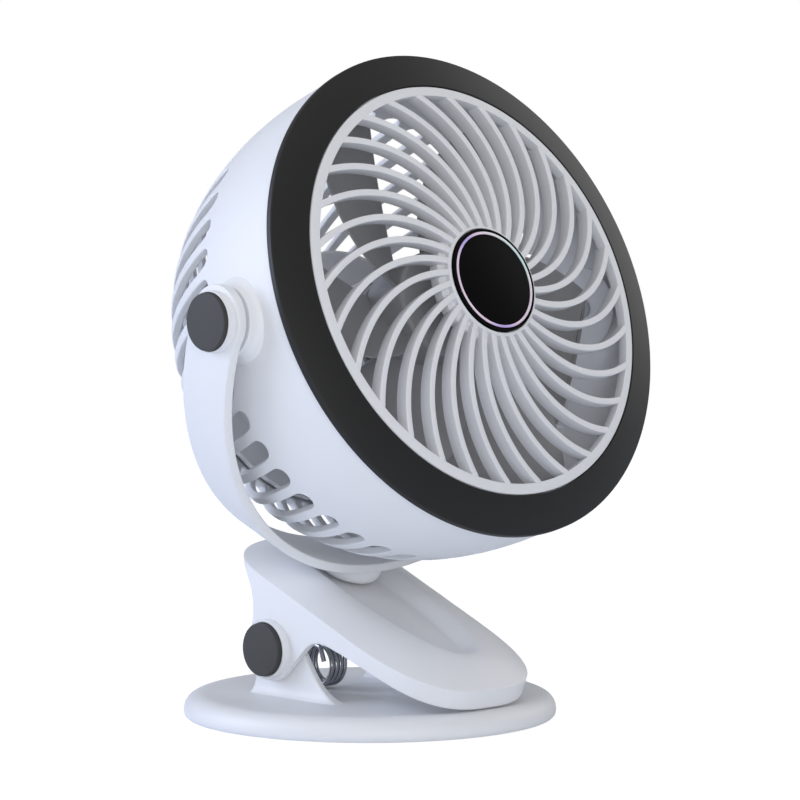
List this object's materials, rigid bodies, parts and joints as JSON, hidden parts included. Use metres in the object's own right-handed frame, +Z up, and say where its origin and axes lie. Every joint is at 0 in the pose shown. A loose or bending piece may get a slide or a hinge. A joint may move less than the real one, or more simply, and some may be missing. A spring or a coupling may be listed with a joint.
{
  "type": "clip fan",
  "caption": "Small round fan with a swirl front grille and a louvred rear shell, tilting in a U-shaped yoke that swivels on a spring clip with a round standing base.",
  "frame": {"origin": "centre of the underside of the round foot pad, on the surface that the fan stands on", "axes": "+Z up, front of the fan and tip of the clip towards -Y, +X to the right as seen from the front"},
  "size_m": [0.1714, 0.1258, 0.2012],
  "materials": {
    "white_plastic": "satin white moulded plastic with a faint lavender cast",
    "grille_plastic": "fine matt white moulded plastic",
    "inner_plastic": "plain grey moulded plastic",
    "ring_plastic": "satin black plastic",
    "black_plastic": "matt charcoal plastic",
    "blade_plastic": "satin dark grey plastic",
    "badge_plastic": "flat printed black disc",
    "badge_foil": "thin iridescent foil ring",
    "rubber": "matt black rubber",
    "spring_steel": "dark oiled spring wire",
    "pin_steel": "plain turned steel",
    "motor_can": "drawn metal can",
    "battery_wrap": "blue shrink wrap",
    "circuit_board": "green solder mask",
    "socket_steel": "plated sheet"
  },
  "bodies": {
    "base": {"base_shell": "white_plastic", "base_plate": "inner_plastic", "foot_pad": "rubber", "torsion_spring": "spring_steel"},
    "lever": {"clip_lever": "white_plastic", "jaw_pad": "rubber", "hinge_pin_left": "pin_steel", "hinge_pin_right": "pin_steel", "hinge_cap_left": "black_plastic", "hinge_cap_right": "black_plastic"},
    "yoke": {"yoke": "white_plastic", "swivel_screw": "pin_steel", "swivel_washer": "pin_steel", "tilt_pin_left": "pin_steel", "tilt_pin_right": "pin_steel", "tilt_cap_left": "black_plastic", "tilt_cap_right": "black_plastic"},
    "head": {"rear_shell": "white_plastic", "trim_ring": "ring_plastic", "front_grille": "grille_plastic", "badge_disc": "badge_plastic", "badge_ring": "badge_foil", "motor": "motor_can", "motor_housing": "white_plastic", "battery_pack": "battery_wrap", "circuit_board": "circuit_board", "rear_cap": "white_plastic", "charge_socket": "socket_steel"},
    "fan": {"fan_rotor": "blade_plastic", "motor_shaft": "pin_steel"},
    "button": {"power_button": "blade_plastic"}
  },
  "joints": [
    {"name": "clip_open", "type": "hinge", "parent": "base", "child": "lever", "pos_m": [0, 0.0148, 0.0214], "axis": [-1, 0, 0], "range_deg": [0, 35], "stiffness_Nm_per_rad": 0.6, "springref_deg": -20.05},
    {"name": "yoke_swivel", "type": "hinge", "parent": "lever", "child": "yoke", "pos_m": [0, 0.01097, 0.04034], "axis": [0, -0.3827, 0.9239], "continuous": true},
    {"name": "head_tilt", "type": "hinge", "parent": "yoke", "child": "head", "pos_m": [0, -0.02355, 0.12367], "axis": [1, 0, 0], "continuous": true},
    {"name": "fan_spin", "type": "hinge", "parent": "head", "child": "fan", "pos_m": [0, -0.02355, 0.12367], "axis": [0, -0.9393, 0.343], "continuous": true},
    {"name": "button_press", "type": "slide", "parent": "head", "child": "button", "axis": [0, -0.9393, 0.343], "range_m": [0, 0.0008], "stiffness_N_per_m": 1200, "springref_m": -0.0006}
  ]
}
